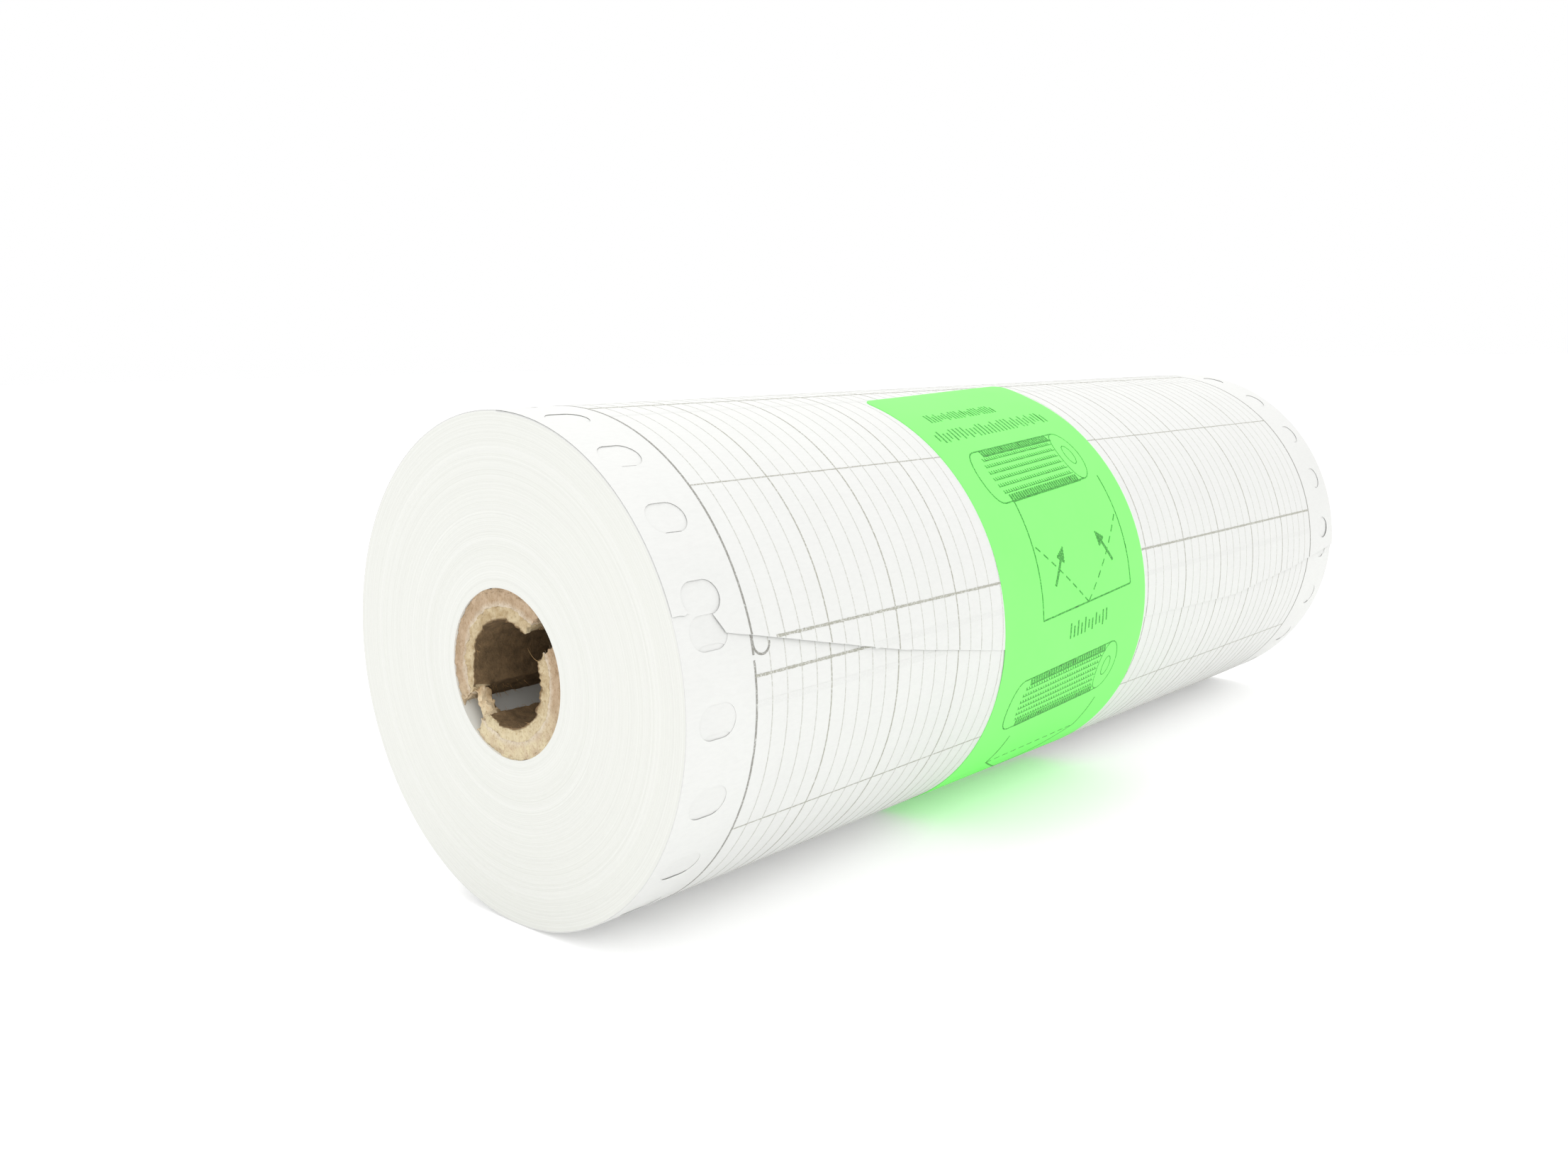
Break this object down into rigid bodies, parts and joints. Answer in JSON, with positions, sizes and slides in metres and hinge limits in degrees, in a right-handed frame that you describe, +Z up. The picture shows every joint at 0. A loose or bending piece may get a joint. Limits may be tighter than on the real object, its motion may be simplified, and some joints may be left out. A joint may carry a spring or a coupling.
{
  "type": "chart recorder paper roll",
  "caption": "Printed chart paper wound on a notched board core, with sprocket holes in its margins and a free leader held down by a green label.",
  "frame": {"origin": "centre of the core's bore, at mid-length", "axes": "+X along the roll's axis from the end with slotted margin holes to the end with round ones, +Z up, -Y towards the leader's edge"},
  "size_m": [0.171, 0.0623, 0.0621],
  "materials": {
    "chart_paper": "uncoated, printed grey grid",
    "core_board": "raw grey-brown board",
    "core_liner": "lighter, frayed board",
    "label_paper": "bright green, printed",
    "tape": "gummed paper tape"
  },
  "bodies": {
    "roll": {"core_inner_ply": "core_liner", "core_inner_board": "core_liner", "core_outer_board": "core_board", "core_outer_ply": "core_board", "starter_tape": "tape", "wound_web": "chart_paper", "outer_turn": "chart_paper"},
    "leader": {"leader": "chart_paper", "label_head": "label_paper"},
    "label_tail": {"label_tail": "label_paper"}
  },
  "joints": [
    {"name": "leader_lift", "type": "hinge", "parent": "roll", "child": "leader", "pos_m": [0, -0.00109, 0.03108], "axis": [-1, 0, 0], "range_deg": [0, 40]},
    {"name": "label_peel", "type": "hinge", "parent": "leader", "child": "label_tail", "pos_m": [0, -0.03071, -0.00597], "axis": [-1, 0, 0], "range_deg": [0, 36]}
  ],
  "couplings": [
    {"joint": "label_peel", "follows": "leader_lift", "ratio": 0.9}
  ]
}
